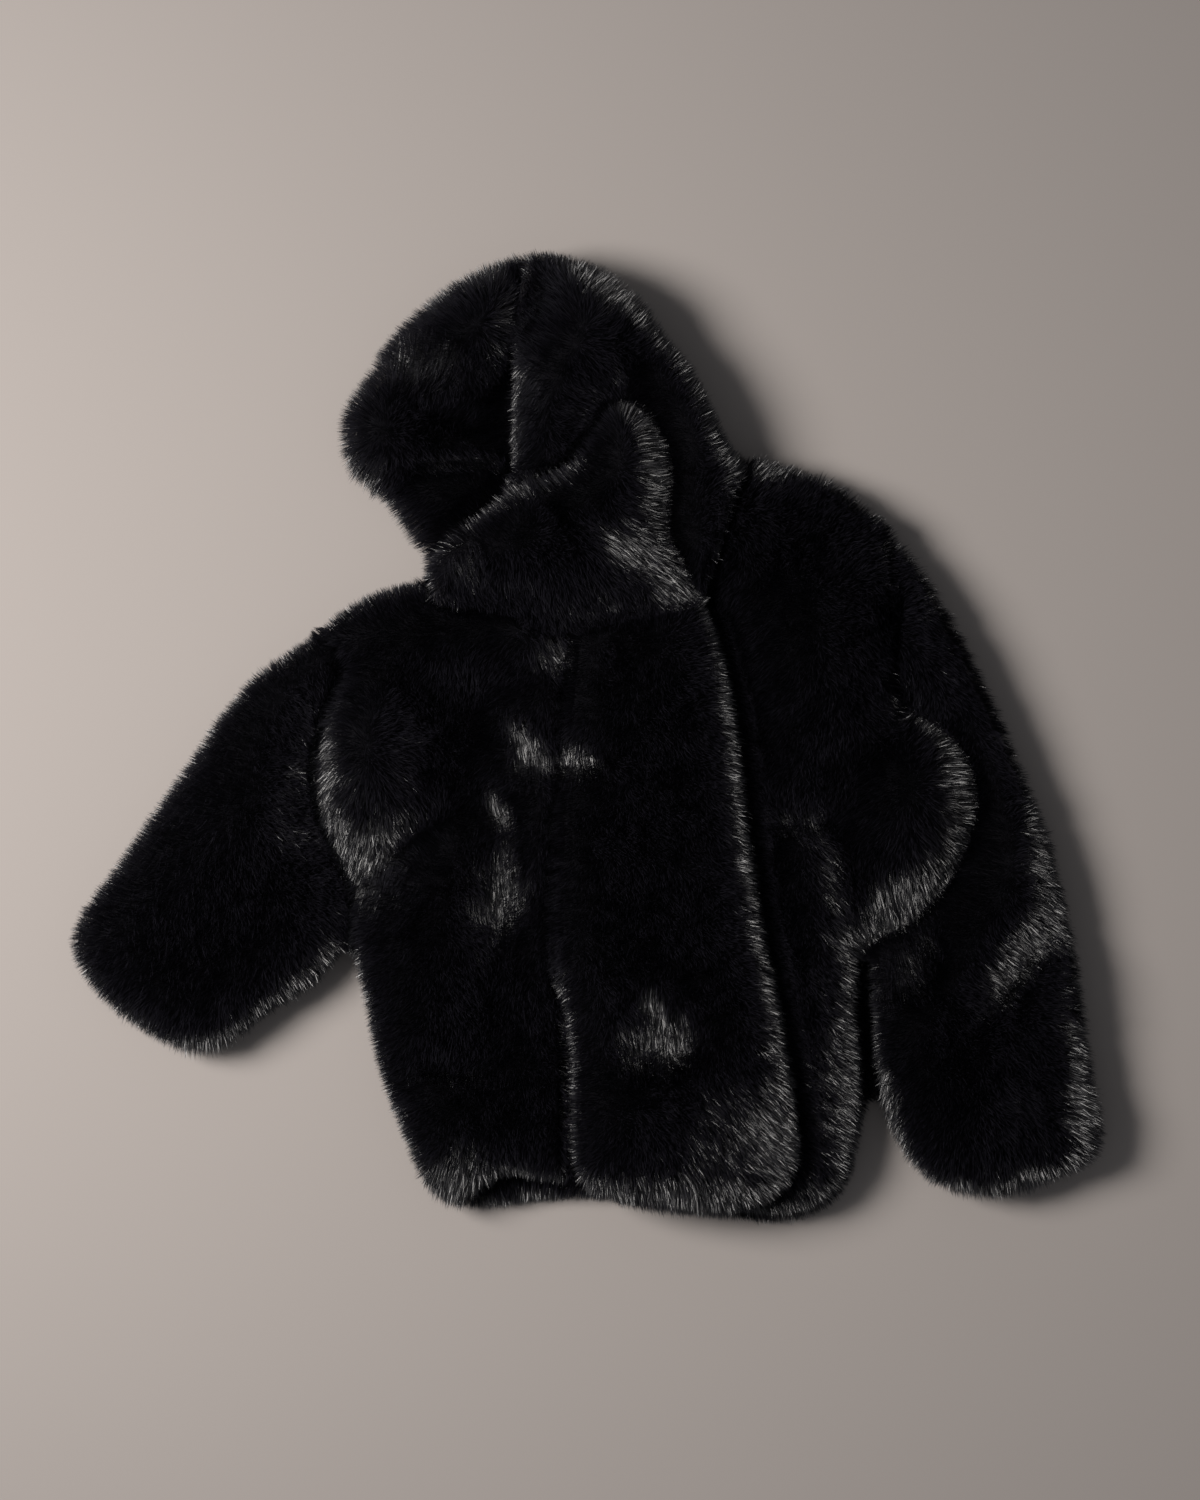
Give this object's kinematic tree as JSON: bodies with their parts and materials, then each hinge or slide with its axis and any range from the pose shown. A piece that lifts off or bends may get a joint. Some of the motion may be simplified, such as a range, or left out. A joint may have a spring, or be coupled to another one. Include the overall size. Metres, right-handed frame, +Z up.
{
  "type": "hooded faux fur jacket",
  "caption": "Short hooded jacket of deep black faux fur, laid flat on its back with the sleeves spread and a wide overlapping front band.",
  "frame": {"origin": "centre of the bounding box, on the surface the jacket lies on", "axes": "+Z up from the surface, +Y towards the hood, +X towards the wearer's left sleeve"},
  "size_m": [1.0342, 0.9738, 0.0854],
  "materials": {
    "back": "deep glossy black pile, combed downwards",
    "right_front": "deep glossy black pile, combed downwards",
    "left_front": "deep glossy black pile, combed downwards",
    "front_band": "deep glossy black pile, combed downwards",
    "collar": "deep glossy black pile, combed downwards",
    "right_sleeve_under": "deep glossy black pile, combed downwards",
    "right_sleeve_top": "deep glossy black pile, combed downwards",
    "left_sleeve_under": "deep glossy black pile, combed downwards",
    "left_sleeve_top": "deep glossy black pile, combed downwards",
    "hood_right": "deep glossy black pile, combed downwards",
    "hood_left": "deep glossy black pile, combed downwards"
  },
  "bodies": {
    "root": {"back": "back", "right_front": "right_front", "left_front": "left_front", "front_band": "front_band", "collar": "collar", "right_sleeve_under": "right_sleeve_under", "right_sleeve_top": "right_sleeve_top", "left_sleeve_under": "left_sleeve_under", "left_sleeve_top": "left_sleeve_top", "hood_right": "hood_right", "hood_left": "hood_left"}
  },
  "joints": []
}
